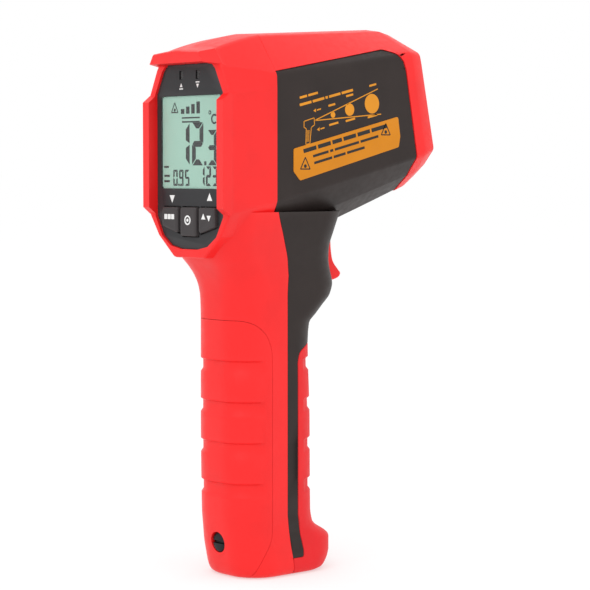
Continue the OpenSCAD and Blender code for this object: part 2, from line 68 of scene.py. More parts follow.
HALF = rear_high.x  # half the head's width
PANEL_Y = panel_low.y
RIM_Y = PANEL_Y - 1  # the rim round the display stands this far proud of its panel
SEAM_Y = top_low.y  # where the rear housing ends and the barrel starts
COVER_TOP = cover_high.z
SCREW_Z = (screw_low.z + screw_high.z) / 2
GRIP_TOP = grip_high.z
HANDLE_SEAM_Y = 0.8  # the handle's parting line
WALL = 2.6  # thickness of the hard mouldings
SKIN = 1.4  # thickness of the soft grip
DROP = 0.3  # how far the dark side panels lie below the red
GAP = 0.16  # width of a seam
MUZZLE_Y, MUZZLE_Z = 68.9, 180  # the middle of the muzzle
TILT = math.radians(12)  # lean of the muzzle's plane
BEZEL_T = 0.862  # where the red ring starts, as a share of the barrel's length
BEND_T = 0.917  # where the ring bends in towards the muzzle
MUZZLE_INSET = 1.6  # how far it bends in
REACH = 45  # half width of a cutter that goes through the whole part

# The head's sections: the right half from the top's corner down, as (x, z).
RIM = ((14.6, 197.3), (19.3, 190.9), (HALF, 181), (HALF, 137), (18.5, 129), (9, 121))
MIDDLE = ((13.8, 201.7), (22.4, 189.8), (HALF, 182.4), (HALF, 140.5), (18.2, 129.6), (8.6, 120.6))
SEAM = ((13, 203.5), (HALF - 0.2, 188.6), (HALF, 183.4), (HALF, 142), (17.8, 130), (8.4, 120))
MUZZLE = ((6.6, 208.5), (HALF - 0.2, 200), (HALF, 195), (HALF, 161.2), (16.6, 154.6), (8.4, 149.3))
MIDDLE_T = 0.62  # the middle section's place between rim and seam
CROWN = 1  # rise of the top's middle above its corners
CORNER_R = 3.2

# The handle's sections: height, half width, rear y, front y, corner radius.
HANDLE = (
    (0, 14.8, -15.2, 24.2, 11.5),
    (0.8, 16.1, -16.4, 25.8, 12.5),
    (2.6, 17, -17.4, 27.2, 13.5),
    (7, 17.2, -18.4, 28.8, 13.5),
    (12, 17.2, -19.4, 28.8, 13.5),
    (18.5, 17, -20.2, 20.6, 13.5),
    (24, 17, -20.7, 19.5, 13.5),
    (60, 17, -21.1, 19.2, 13.5),
    (88, 17, -21, 18.2, 13.5),
    (95.5, 17, -21, 19, 13.5),
    (98.5, 17, -21, 22, 13.5),
    (102.4, 17, -21.1, 26, 13.5),
    (106, 17, -21.3, 29.5, 13.5),
    (110, 17.2, -22, 30.6, 13.5),
    (113.5, 17.5, -23.4, 29.6, 13.5),
    (117, 18, -25.6, 28.2, 13.5),
    (120.5, 18.8, -28.4, 27.2, 13.5),
    (125, 20, -31, 26.6, 13.5),
    (131, 21.8, -32.4, 27.4, 13.5),
    (138, 23.4, -32.6, 29, 13.5),
)


# ---- Curves and outlines ----


def mix(a, b, t):
    return a + (b - a) * t


def spaced(a, b, n):
    return [mix(a, b, i / (n - 1)) for i in range(n)]


def ramp(x, low, high):
    """0 below low, 1 above high and smooth between."""
    t = min(max((x - low) / (high - low), 0), 1)
    return t * t * (3 - 2 * t)


def monotone(rows, x):
    """The rows' columns at x, along curves that don't overshoot between rows."""
    rows = np.array(rows, float)
    xs, ys = rows[:, 0], rows[:, 1:]
    if x <= xs[0]:
        return ys[0]
    if x >= xs[-1]:
        return ys[-1]
    h = np.diff(xs)[:, None]
    slope = np.diff(ys, axis=0) / h
    tangent = np.zeros_like(ys)
    tangent[0], tangent[-1] = slope[0], slope[-1]
    left, right = slope[:-1], slope[1:]
    same = left * right > 0
    w1, w2 = 2 * h[1:] + h[:-1], h[1:] + 2 * h[:-1]
    with np.errstate(divide="ignore", invalid="ignore"):
        harmonic = (w1 + w2) / (w1 / left + w2 / right)
    tangent[1:-1] = np.where(same, harmonic, 0)
    i = int(np.searchsorted(xs, x, side="right")) - 1
    t = (x - xs[i]) / h[i, 0]
    a, b = (1 + 2 * t) * (1 - t) ** 2, t * (1 - t) ** 2
    c, d = t * t * (3 - 2 * t), t * t * (t - 1)
    return a * ys[i] + b * h[i, 0] * tangent[i] + c * ys[i + 1] + d * h[i, 0] * tangent[i + 1]


def corner_arc(a, b, c, r, k):
    """k + 1 points that round the corner b between a and c."""
    u, v = (a - b).normalized(), (c - b).normalized()
    half = math.acos(max(-1, min(1, u.dot(v)))) / 2
    if half > math.radians(89):
        return [b + u * 0.6 * (1 - 2 * i / k) for i in range(k + 1)]
    run = min(r / math.tan(half), 0.46 * (a - b).length, 0.46 * (c - b).length)
    rr = run * math.tan(half)
    centre = b + (u + v).normalized() * rr / math.sin(half)
    s, e = b + u * run - centre, b + v * run - centre
    start = math.atan2(s.y, s.x)
    turn = math.atan2(s.x * e.y - s.y * e.x, s.dot(e))
    return [
        centre + rr * Vector((math.cos(start + turn * i / k), math.sin(start + turn * i / k)))
        for i in range(k + 1)
    ]


def rounded(points, r, k):
    points = [Vector(p) for p in points]
    n = len(points)
    return [q for i in range(n) for q in corner_arc(points[i - 1], points[i], points[(i + 1) % n], r, k)]


def clockwise(points):
    area = sum(p[0] * q[1] - q[0] * p[1] for p, q in zip(points, points[1:] + points[:1]))
    return area < 0


def inset(points, d):
    """The closed outline moved inwards by d."""
    points = [Vector(p) for p in points]
    points = [p for i, p in enumerate(points) if (p - points[i - 1]).length > 1e-4]
    if not clockwise(points):
        d = -d
    n = len(points)
    moved = []
    for i in range(n):
        a = (points[i] - points[i - 1]).normalized()
        b = (points[(i + 1) % n] - points[i]).normalized()
        na, nb = Vector((a.y, -a.x)), Vector((b.y, -b.x))
        moved.append(points[i] + d * (na + nb) / max(1 + na.dot(nb), 0.4))
    return moved


def curve(points, steps=6):
    """A smooth open curve through the points."""
    points = [Vector(p) for p in points]
    ends = [2 * points[0] - points[1], *points, 2 * points[-1] - points[-2]]
    made = []
    for i in range(1, len(ends) - 2):
        p0, p1, p2, p3 = ends[i - 1 : i + 3]
        for s in range(steps):
            t = s / steps
            made.append(
                0.5 * (2 * p1 + (p2 - p0) * t + (2 * p0 - 5 * p1 + 4 * p2 - p3) * t * t
                       + (3 * p1 - p0 - 3 * p2 + p3) * t ** 3)
            )
    return made + [points[-1]]


def smooth(points, steps):
    """The same curve as pairs of numbers."""
    return [tuple(p) for p in curve(points, steps)]


def circle(centre, r, n=32):
    return [
        Vector((centre[0] + r * math.cos(2 * math.pi * i / n), centre[1] + r * math.sin(2 * math.pi * i / n)))
        for i in range(n)
    ]


def box_outline(x0, z0, x1, z1, r=0, k=4):
    points = [(x0, z0), (x1, z0), (x1, z1), (x0, z1)]
    return rounded(points, r, k) if r else [Vector(p) for p in points]


# ---- Meshes ----


def from_bmesh(name, bm):
    mesh = bpy.data.meshes.new(name)
    bm.to_mesh(mesh)
    bm.free()
    obj = bpy.data.objects.new(name, mesh)
    bpy.context.scene.collection.objects.link(obj)
    return obj


def loft(name, rings):
    """A closed solid through rings with the same number of points."""
    bm = bmesh.new()
    rows = [[bm.verts.new(p) for p in ring] for ring in rings]
    n = len(rows[0])
    for low, high in zip(rows, rows[1:]):
        for i in range(n):
            j = (i + 1) % n
            bm.faces.new((low[i], low[j], high[j], high[i]))
    bm.faces.new(rows[0])
    bm.faces.new(rows[-1])
    bmesh.ops.recalc_face_normals(bm, faces=bm.faces)
    return from_bmesh(name, bm)


def side_prism(outline, x0=-REACH, x1=REACH, name="side_prism"):
    """A prism along X from an outline in (y, z)."""
    return loft(name, [[(x, p[0], p[1]) for p in outline] for x in (x0, x1)])


def facing(outline, y0, y1, name="facing"):
    """A prism along Y from an outline in (x, z)."""
    return loft(name, [[(p[0], y, p[1]) for p in outline] for y in (y0, y1)])


ROD_SIDES = 32
LATHE_SIDES = 48


def rod(start, axis, radius, length, name="rod"):
    """A round bar from start along an axis."""
    axis = Vector(axis).normalized()
    side = axis.orthogonal().normalized()
    up = axis.cross(side)
    rings = []
    for along in (0, length):
        rings.append([
            Vector(start) + axis * along
            + side * radius * math.cos(2 * math.pi * i / ROD_SIDES)
            + up * radius * math.sin(2 * math.pi * i / ROD_SIDES)
            for i in range(ROD_SIDES)
        ])
    return loft(name, rings)


def lathe(name, profile):
    """A solid of revolution about Z from (radius, z) pairs; the ends lie on the axis."""
    bm = bmesh.new()
    n = LATHE_SIDES
    turns = [2 * math.pi * i / n for i in range(n)]
    ends = [bm.verts.new((0, 0, profile[0][1])), bm.verts.new((0, 0, profile[-1][1]))]
    rows = [[bm.verts.new((r * math.cos(a), r * math.sin(a), z)) for a in turns] for r, z in profile if r > 0]
    for low, high in zip(rows, rows[1:]):
        for i in range(n):
            bm.faces.new((low[i], low[(i + 1) % n], high[(i + 1) % n], high[i]))
    for end, row in ((ends[0], rows[0]), (ends[1], rows[-1])):
        for i in range(n):
            bm.faces.new((end, row[i], row[(i + 1) % n]))
    bmesh.ops.recalc_face_normals(bm, faces=bm.faces)
    return from_bmesh(name, bm)


def remove(*objects):
    for obj in objects:
        mesh = obj.data
        bpy.data.objects.remove(obj)
        bpy.data.meshes.remove(mesh)


def boolean(base, operation, *tools):
    """Applies the tools to base, one after another, and removes them."""
    for tool in tools:
        step = base.modifiers.new("step", "BOOLEAN")
        step.operation, step.solver, step.object = operation, "MANIFOLD", tool
    graph = bpy.context.evaluated_depsgraph_get()
    mesh = bpy.data.meshes.new_from_object(base.evaluated_get(graph))
    base.modifiers.clear()
    old = base.data
    base.data = mesh
    bpy.data.meshes.remove(old)
    remove(*tools)
    return base


def cut(base, *tools):
    return boolean(base, "DIFFERENCE", *tools)


def join(base, *tools):
    return boolean(base, "UNION", *tools)


def keep(base, *tools):
    return boolean(base, "INTERSECT", *tools)


# ---- The body's surfaces ----


def whole(half):
    right = [Vector(p) for p in half]
    return [Vector((0, half[0][1] + CROWN)), *right, *[Vector((-p.x, p.y)) for p in reversed(right)]]


def head_ring(half, y, d, k, lean=0.0):
    outline = rounded(inset(whole(half), d), CORNER_R - d / 2, k)
    return [(p.x, y + lean * (MUZZLE_Z - p.y), p.y) for p in outline]


def rear_half(t):
    """The rear head's section at t, on a smooth curve through its three stations."""
    m = MIDDLE_T
    a, b, c = (t - m) * (t - 1) / m, t * (t - 1) / (m * (m - 1)), t * (t - m) / (1 - m)
    return [tuple(a * p[i] + b * q[i] + c * r[i] for i in (0, 1)) for p, q, r in zip(RIM, MIDDLE, SEAM)]


def rear_head(d=0.0, y0=RIM_Y, k=6, edge=0.7):
    """The head behind the seam, d inside its surface; edge rounds its rim."""
    depth = SEAM_Y - RIM_Y
    ys = spaced(y0 + edge, SEAM_Y, 11)
    rings = []
    for a in (0, 22.5, 45, 67.5) if edge else ():
        s, c = math.sin(math.radians(a)), math.cos(math.radians(a))
        y = y0 + edge * (1 - c)
        rings.append(head_ring(rear_half((y - RIM_Y) / depth), y, d + edge * (1 - s), k))
    rings += [head_ring(rear_half((y - RIM_Y) / depth), y, d, k) for y in ys]
    return loft("rear_head", rings)


def barrel_half(t):
    return [tuple(mix(a[i], b[i], t) for i in (0, 1)) for a, b in zip(SEAM, MUZZLE)]


def barrel_ring(t, d, k):
    return head_ring(barrel_half(t), mix(SEAM_Y, MUZZLE_Y, t), d, k, t * math.tan(TILT))


def barrel(d, t0, t1, k=6, edge=0.0):
    """The barrel from t0 to t1; edge rounds the rim of its front end."""
    bend = 0.006
    length = MUZZLE_Y - SEAM_Y
    stations = [(t, 0.0) for t in spaced(t0, BEND_T - bend, 10)]
    stations += [(BEND_T + bend, MUZZLE_INSET * bend / (1 - BEND_T))]
    last = t1 - edge / length
    stations += [(last, MUZZLE_INSET * (last - BEND_T) / (1 - BEND_T))]
    if edge:
        full = MUZZLE_INSET * (t1 - BEND_T) / (1 - BEND_T)
        for a in (30, 60, 90):
            s, c = math.sin(math.radians(a)), math.cos(math.radians(a))
            stations.append((last + edge / length * s, full + edge * (1 - c)))
    return loft("barrel", [barrel_ring(t, d + more, k) for t, more in stations])


def handle_ring(z, d, k=10, section_z=None):
    w, y0, y1, r = map(float, monotone(HANDLE, z if section_z is None else section_z))
    corners = [(w - d, y1 - d), (-w + d, y1 - d), (-w + d, y0 + d), (w - d, y0 + d)]
    return [(p.x, p.y, z) for p in rounded(corners, r - d, k)]


HANDLE_ZS = sorted(
    {row[0] for row in HANDLE}
    | {0.25, 1.6, 4.5, 9.5, 13, 14, 15, 16, 17, 20, 22, 30, 40, 50, 70, 80}
    | {92, 94, 96.5, 97.5, 99.5, 101, 104, 105, 107, 108, 109, 111, 112, 115, 116, 118, 119}
    | {122, 123.5, 127, 129, 133, 135.5}
)


def handle(d=0.0, floor=0.0, k=10):
    zs = [floor] + [z for z in HANDLE_ZS if z > floor + 0.2]
    rings = [handle_ring(zs[0], d, k, 2.6 if floor > 0 else 0)]
    return loft("handle", rings + [handle_ring(z, d, k) for z in zs[1:]])


def hollow():
    return rear_head(WALL, RIM_Y + 5, 2, 0), barrel(WALL, -0.02, 1.04, 2), handle(WALL, WALL, 6)


# ---- Parting lines, in (y, z) ----

ABOVE, BELOW = 230, -5  # heights clear of the part
BEHIND, AHEAD = -60, 100  # depths clear of the part

PARTING = [
    (SEAM_Y, ABOVE),
    (SEAM_Y, 141),
    *smooth([(SEAM_Y, 141), (-7.6, 134.5), (-3.6, 126.5), (-0.8, 120.5), (HANDLE_SEAM_Y, 114)], 5),
    (HANDLE_SEAM_Y, 24),
    *smooth([(HANDLE_SEAM_Y, 23), (2, 13), (3.4, 6.4), (4.6, -1)], 4),
    (5.2, BELOW),
]


def front_side(d):
    return side_prism(inset([*PARTING, (AHEAD, BELOW), (AHEAD, ABOVE)], d), name="front_side")


def rear_side(d):
    return side_prism(inset([*PARTING, (BEHIND, BELOW), (BEHIND, ABOVE)], d), name="rear_side")


COVER_LINE = [
    (BEHIND, COVER_TOP),
    (-30, COVER_TOP),
    *smooth([
        (-21, COVER_TOP), (-17.4, COVER_TOP - 0.2), (-13.4, 95.6), (-9.6, 92), (-7.5, 87.4), (-6.8, 81),
        (-6.8, 50), (-6.8, 21), (-7.6, 14), (-10.6, 7.6), (-15.4, -5),
    ], 5),
    (BEHIND, BELOW),
]


def cover_side(d):
    return side_prism(inset(COVER_LINE, d), name="cover_side")


GRIP_LINE = [
    *smooth([(6, 79), (6, 81), (7, 84.4), (10, 86.4), (15, GRIP_TOP - 0.2), (22, GRIP_TOP)], 4),
    (50, GRIP_TOP), (50, BELOW), (5.2, BELOW), (4.6, -1), (3.6, 6.4),
    (8.4, 6.4), (8.8, 7), (8.7, 9), (7, 15), (6, 23),
]


def grip_side(d):
    return side_prism(inset(GRIP_LINE, d), name="grip_side")


def muzzle_point(t, z):
    """The point at height z of the leaning plane at t along the barrel."""
    return mix(SEAM_Y, MUZZLE_Y, t) + t * math.tan(TILT) * (MUZZLE_Z - z), z


PANEL_EDGE = [
    (SEAM_Y - 1, 189.6),
    (46.6, 200.0),
    *smooth([(47.6, 199.8), (51.4, 198.4), (54.4, 195.6)], 4),
    muzzle_point(BEZEL_T, 192),
    muzzle_point(BEZEL_T, 120),
]


def red_side(d):
    """What the top cover takes of the barrel: its top and the ring round the muzzle."""
    return side_prism(inset([*PANEL_EDGE, (140, 120), (140, 240), (SEAM_Y - 1, 240)], d), name="red_side")


def panel_outline(d):
    half = [(13.4, 192.6), (15.8, 190.4), (20.3, 181.6), (20.3, 136.4), (16.2, 129), (11, 125.4), (5, 124.2)]
    return inset(half + [(-x, z) for x, z in reversed(half)], d)


# ---- Materials ----


class Nodes:
    """Builds one node material."""

    def __init__(self, name):
        self.material = bpy.data.materials.new(name)
        self.material.use_nodes = True
        self.tree = self.material.node_tree
        self.shader = self.tree.nodes["Principled BSDF"]
        self.place = self.tree.nodes.new("ShaderNodeTexCoord").outputs["Object"]

    def add(self, kind, inputs=(), **settings):
        node = self.tree.nodes.new(kind)
        for key, value in settings.items():
            setattr(node, key, value)
        for key, value in dict(inputs).items():
            if isinstance(value, bpy.types.NodeSocket):
                self.tree.links.new(value, node.inputs[key])
            else:
                node.inputs[key].default_value = value
        return node

    def noise(self, scale, detail=3.0, rough=0.5, stretch=None):
        place = self.place
        if stretch:
            place = self.add("ShaderNodeMapping", {"Vector": place, "Scale": stretch}).outputs["Vector"]
        return self.add(
            "ShaderNodeTexNoise", {"Vector": place, "Scale": scale, "Detail": detail, "Roughness": rough}
        ).outputs["Fac"]

    def remap(self, value, low, high, to_low, to_high):
        return self.add(
            "ShaderNodeMapRange",
            {"Value": value, "From Min": low, "From Max": high, "To Min": to_low, "To Max": to_high},
        ).outputs["Result"]

    def blend(self, factor, a, b):
        node = self.add("ShaderNodeMix", data_type="RGBA")
        for socket, value in ((node.inputs[0], factor), (node.inputs[6], a), (node.inputs[7], b)):
            if isinstance(value, bpy.types.NodeSocket):
                self.tree.links.new(value, socket)
            else:
                socket.default_value = value if isinstance(value, float) else (*value, 1)
        return node.outputs[2]

    def use(self, key, value):
        if isinstance(value, bpy.types.NodeSocket):
            self.tree.links.new(value, self.shader.inputs[key])
        else:
            self.shader.inputs[key].default_value = value

    def bump(self, height, strength, distance):
        inputs = {"Height": height, "Strength": strength, "Distance": distance}
        self.use("Normal", self.add("ShaderNodeBump", inputs).outputs["Normal"])


# Scales of the moulded surfaces' mottling and gloss, the curvature at which an edge gets a painted highlight,
# and the height of their grain in metres.
MOTTLE, GLOSS = 70.0, 420.0
HIGHLIGHT_FROM, HIGHLIGHT_TO = 0.53, 0.62
GRAIN_HEIGHT = 0.00003


def scaled(color, factor):
    return tuple(min(c * factor, 1.0) for c in color)


def moulded(name, color, rough, grain=3200.0, depth=0.35, specular=0.4, vary=0.07, edge_highlight=0.12):
    """Moulded plastic or rubber: a fine grain, uneven gloss, faint mottling and edges lightened as a painted
    highlight.
    """
    n = Nodes(name)
    mottle = n.remap(n.noise(MOTTLE), 0.3, 0.7, 0.0, 1.0)
    base = n.blend(mottle, scaled(color, 1 - vary), scaled(color, 1 + vary))
    # Painted highlight: edges with high pointiness are blended towards a paler copy of the colour.
    edge = n.remap(n.add("ShaderNodeNewGeometry").outputs["Pointiness"], HIGHLIGHT_FROM, HIGHLIGHT_TO, 0.0, edge_highlight)
    edge_lit = n.blend(edge, base, scaled(tuple(c + 0.08 for c in color), 1.25))
    n.use("Base Color", edge_lit)
    n.use("Roughness", n.remap(n.noise(GLOSS, 4.0), 0.3, 0.7, rough - 0.05, rough + 0.05))
    n.use("Specular IOR Level", specular)
    n.bump(n.noise(grain, 2.0, 0.6), depth, GRAIN_HEIGHT)
    return n.material


def metal(name, color, rough, stretch=(1, 1, 12)):
    """Turned or drawn metal, with fine lines along one direction."""
    n = Nodes(name)
    n.use("Base Color", n.blend(n.noise(600.0, 4.0), scaled(color, 0.85), scaled(color, 1.1)))
    n.use("Metallic", 1.0)
    n.use("Roughness", n.remap(n.noise(900.0, 3.0, 0.5, stretch), 0.3, 0.7, rough - 0.06, rough + 0.08))
    n.bump(n.noise(1800.0, 2.0, 0.5, stretch), 0.25, 0.00002)
    return n.material


def clear(name, color, alpha, rough=0.04):
    """Clear or smoked plastic, seen through by its alpha."""
    n = Nodes(name)
    n.use("Base Color", n.blend(n.noise(30.0), scaled(color, 0.97), color))
    n.use("Roughness", n.remap(n.noise(200.0), 0.3, 0.7, rough, rough + 0.03))
    n.use("Alpha", alpha)
    return n.material


RED = (0.86, 0.014, 0.014)
GRIP_RED = (0.76, 0.014, 0.018)
DARK = (0.027, 0.019, 0.017)

mats = {
    "red_shell": moulded("red_shell", RED, 0.42, 2600.0, 0.30, 0.30, 0.04, 0.05),
    "red_grip": moulded("red_grip", GRIP_RED, 0.54, 2100.0, 0.45, 0.24, 0.05, 0.05),
    "dark_shell": moulded("dark_shell", DARK, 0.46, 2300.0, 0.50, 0.20, 0.10, 0.25),
    "panel_plastic": moulded("panel_plastic", (0.026, 0.026, 0.028), 0.34, 3600.0, 0.15, 0.22, 0.08, 0.2),
    "key_rubber": moulded("key_rubber", (0.048, 0.042, 0.043), 0.48, 3000.0, 0.40, 0.22, 0.08, 0.3),
    "black_plastic": moulded("black_plastic", (0.018, 0.018, 0.019), 0.42, 2600.0, 0.40, 0.4, 0.1, 0.2),
    "white_diffuser": moulded("white_diffuser", (0.80, 0.81, 0.79), 0.5, 2600.0, 0.1),
    "silicone_mat": moulded("silicone_mat", (0.42, 0.43, 0.43), 0.6, 1800.0, 0.3),
    "circuit_board": moulded("circuit_board", (0.02, 0.14, 0.05), 0.3, 900.0, 0.4, 0.5, 0.25),
    "contact_rubber": moulded("contact_rubber", (0.62, 0.22, 0.26), 0.6, 1500.0, 0.3),
    "lead_red": moulded("lead_red", (0.50, 0.02, 0.02), 0.4, 1500.0, 0.2),
    "battery_case": moulded("battery_case", (0.05, 0.06, 0.08), 0.35, 900.0, 0.1, 0.5, 0.2),
    "print_white": moulded("print_white", (0.80, 0.80, 0.79), 0.55, 3000.0, 0.2, 0.3, 0.08, 0.0),
    "print_orange": moulded("print_orange", (0.70, 0.27, 0.015), 0.5, 3000.0, 0.2, 0.22, 0.08, 0.0),
    "label_film": moulded("label_film", (0.62, 0.215, 0.004), 0.40, 1500.0, 0.12, 0.22, 0.05, 0.0),
    "print_black": moulded("print_black", (0.018, 0.016, 0.015), 0.45, 3000.0, 0.1, 0.3, 0.1, 0.0),
    "lcd_ink": moulded("lcd_ink", (0.006, 0.007, 0.008), 0.35, 3000.0, 0.05, 0.3, 0.1, 0.0),
    "black_metal": metal("black_metal", (0.030, 0.030, 0.032), 0.38),
    "brass": metal("brass", (0.72, 0.50, 0.20), 0.30),
    "steel": metal("steel", (0.55, 0.55, 0.57), 0.30),
    "tube_metal": metal("tube_metal", (0.05, 0.05, 0.055), 0.40),
    "clear_window": clear("clear_window", (0.86, 0.92, 0.90), 0.03),
    "light_pipe": clear("light_pipe", (0.02, 0.018, 0.018), 0.9, 0.12),
}


def lcd_material():
    """The display's reflective green-grey film, with the faint streaks of its polariser."""
    n = Nodes("lcd")
    streak = n.noise(900.0, 3.0, 0.6, (1, 1, 0.08))
    cloud = n.noise(35.0)
    tone = n.blend(n.remap(cloud, 0.3, 0.7, 0.0, 1.0), (0.29, 0.50, 0.405), (0.325, 0.54, 0.44))
    n.use("Base Color", n.blend(n.remap(streak, 0.4, 0.6, 0.0, 0.12), tone, (0.38, 0.60, 0.50)))
    n.use("Roughness", n.remap(streak, 0.3, 0.7, 0.35, 0.5))
    n.bump(streak, 0.1, 0.00001)
    return n.material


def lens_material():
    """Coated infrared glass: dark, with a violet to amber sheen at its edge."""
    n = Nodes("lens_glass")
    face = n.add("ShaderNodeLayerWeight", {"Blend": 0.35}).outputs["Facing"]
    tone = n.blend(face, (0.035, 0.02, 0.06), (0.30, 0.12, 0.10))
    n.use("Base Color", n.blend(n.remap(n.noise(300.0), 0.3, 0.7, 0.0, 0.3), tone, (0.05, 0.03, 0.12)))
    n.use("Metallic", 0.6)
    n.use("Roughness", n.remap(n.noise(500.0), 0.3, 0.7, 0.04, 0.08))
    n.use("Coat Weight", 0.8)
    return n.material


mats["lcd"] = lcd_material()
mats["lens_glass"] = lens_material()


# ---- Finishing a piece ----


def finished(obj, name, material, body, nodes=(), bevel=0.0, angle=35.0):
    """Cleans the mesh, scales it to metres, rounds its edges and ties it to its body."""
    bm = bmesh.new()
    bm.from_mesh(obj.data)
    bmesh.ops.remove_doubles(bm, verts=bm.verts, dist=0.04 if bevel else 0.01)
    bmesh.ops.dissolve_degenerate(bm, edges=bm.edges, dist=0.01)
    if bevel:
        bmesh.ops.triangulate(bm, faces=[f for f in bm.faces if len(f.verts) > 4])
    bm.to_mesh(obj.data)
    bm.free()
    obj.name = name
    obj.data.name = name
    obj.data.transform(Matrix.Scale(MM, 4))
    obj.data.materials.clear()
    obj.data.materials.append(mats[material])
    for face in obj.data.polygons:
        face.use_smooth = True
        face.material_index = 0
    if bevel:
        mod = obj.modifiers.new("edges", "BEVEL")
        mod.width, mod.segments, mod.limit_method = bevel * MM, 2, "ANGLE"
        mod.angle_limit = math.radians(angle)
        mod.use_clamp_overlap = False
        mod.harden_normals = True
    obj.data.set_sharp_from_angle(angle=math.radians(angle))
    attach(obj, body)
    if nodes:
        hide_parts(*nodes)
    return obj


# ---- Housings ----


def cheek(side):
    """The wall that stands up beside the display, flush with the head's side."""
    low, high, back = 139.6, 178.8, RIM_Y - 3
    inner, rings = 20.3, []
    for y, outer, top, bottom in ((back, HALF, high, low), (RIM_Y + 0.3, HALF + 0.03, high + 2.6, low - 2.6),
                                  (RIM_Y + 1.1, HALF + 0.03, high + 2.2, low - 2.2),
                                  (RIM_Y + 2.2, HALF - 0.4, high + 1, low - 1)):
        corners = ((inner, bottom), (outer, bottom), (outer, top), (inner, top))
        rings.append([(side * x, y, z) for x, z in corners])
    return loft("cheek", rings)


def visor():
    """The hood over the display: the head's top and shoulders, drawn on towards the user."""
    rings = []
    for y, low_x, low_z, high_x, high_z in (
        (RIM_Y - 6, 15.65, 192.7, 13.6, 196.0), (RIM_Y - 5.4, 15.95, 192.6, 13.8, 196.4),
        (RIM_Y + 0.9, 18.88, 191.9, 14.64, 197.66), (RIM_Y + 2.4, 18.1, 192.4, 14.0, 197.2),
    ):
        section = ((low_x, low_z), (high_x, high_z), (0, high_z + CROWN), (-high_x, high_z), (-low_x, low_z))
        rings.append([(x, y, z) for x, z in section])
    return loft("visor", rings)


SCREW_X = 11
SCREW_ROWS = (103.5, 111.5)
BOSS_R = 3.6
BORE_R = 1.5  # the trigger's pin hole
SCREW_BOSS_Y = -19  # where the cover's own boss for its screw starts


def bosses(y0, y1, r):
    return [rod((side * SCREW_X, y0, z), Y, r, y1 - y0, name="boss") for side in (-1, 1) for z in SCREW_ROWS]


def groove_cutters(front):
    """Solids that take the finger grooves out of the handle's back or front, fading out at its sides."""
    pitch, first, height, depth = 15.4, 31, 5.3, 0.9
    profile = ((-0.35, -0.25), (1.3, depth), (height - 0.6, depth), (height + 0.15, -0.25))
    cutters = []
    for i in range(4):
        z0 = first + i * pitch
        rings = []
        for dz, d in profile:
            ring = handle_ring(z0 + dz, 0, 12)
            path = ring[: len(ring) // 2] if front else ring[len(ring) // 2 :]
            inner = []
            for x, y, z in path:
                fade = ramp(y, 8.6, 11.2) if front else ramp(-y, 9.4, 12.4)
                move = mix(-0.25, d, fade)
                outwards = Vector((x * 0.9, y - (2 if front else -4), 0)).normalized()
                inner.append(Vector((x, y, z)) - outwards * move)
            far = 40 if front else -40
            side = 30 if front else -30
            outer = [(-side, inner[-1].y, z), (-side, far, z), (side, far, z), (side, inner[0].y, z)]
            rings.append([*inner, *[Vector(p) for p in outer]])
        cutters.append(loft("groove", rings))
    return cutters


def rear_housing():
    body = keep(join(rear_head(), handle()), rear_side(GAP / 2))
    body = join(body, cheek(1), cheek(-1), visor())
    body = cut(body, *hollow())
    body = cut(body, cover_side(-GAP / 2))
    body = cut(body, facing(panel_outline(0), BEHIND, PANEL_Y + 2.2))
    body = cut(body, facing(panel_outline(1.4), BEHIND, RIM_Y + 6))
    post = facing(box_outline(-5, WALL - 0.4, 5, SCREW_Z + 4.6), -10.8, -4.8, "post")
    body = join(body, post, *bosses(-4.2, HANDLE_SEAM_Y - GAP, BOSS_R))
    body = cut(body, rod((0, -12, SCREW_Z), Y, 3.2, 8), *bosses(-5, 2, 1.4))
    return finished(body, "rear_housing_shell", "red_shell", "housing", ["rear_housing"], angle=40)


def trigger_slot():
    """The pin's y and z, and half the width of the slot that the trigger turns in."""
    pin = span("trigger_pin")
    y, z = (pin[0].y + pin[1].y) / 2, (pin[0].z + pin[1].z) / 2
    half = span("trigger")[1].x + 0.4
    return y, z, half


def front_housing():
    body = keep(join(barrel(DROP, 0, 1), handle()), front_side(GAP / 2))
    body = cut(body, *hollow(), red_side(-GAP / 2))
    skin_region = cut(grip_side(-GAP / 2), handle(SKIN, SKIN))
    body = cut(body, skin_region)
    y, z, half = trigger_slot()
    ear = 1.2  # half the thickness of the walls that hold the trigger's pin
    middles = [side * (half + ear) for side in (-1, 1)]
    ears = [side_prism(box_outline(y - 4, z - 4, y + 4, z + 4), x - ear, x + ear) for x in middles]
    body = join(body, *ears, *bosses(HANDLE_SEAM_Y + GAP, 9, BOSS_R))
    body = cut(
        body,
        side_prism(box_outline(10, z - 23.4, 50, z - 2), -half, half),
        side_prism(box_outline(10, z - 5, 28.5, z + 5), -half, half),
        rod((-12, y, z), X, BORE_R, 24),
        *bosses(-1, 10, 1.25),
    )
    return finished(body, "front_housing_shell", "dark_shell", "housing", ["front_housing"], bevel=0.22)


def top_cover():
    body = cut(barrel(0, 0.0006, 1, edge=0.5), barrel(WALL, -0.02, 1.04, 2))
    body = keep(body, red_side(GAP / 2))
    return finished(body, "top_cover_shell", "red_shell", "housing", ["top_cover"], bevel=0.24)


def front_grip():
    body = keep(handle(), grip_side(GAP / 2), front_side(GAP / 2))
    body = cut(body, handle(SKIN, SKIN), *groove_cutters(True))
    return finished(body, "front_grip_skin", "red_grip", "housing", ["front_grip"], bevel=0.3)


def battery_cover():
    body = keep(handle(), cover_side(GAP / 2))
    body = cut(body, handle(WALL, WALL), *groove_cutters(False))
    body = join(body, rod((0, SCREW_BOSS_Y, SCREW_Z), Y, 5, 8))
    body = cut(body, rod((0, -30, SCREW_Z), Y, 4, 13.2), rod((0, -30, SCREW_Z), Y, 1.7, 24))
    return finished(body, "battery_cover_shell", "red_shell", "battery_cover", ["battery_cover"], angle=40)


rear_housing()
front_housing()
top_cover()
front_grip()
battery_cover()


# ---- Display panel, window, display and keys ----

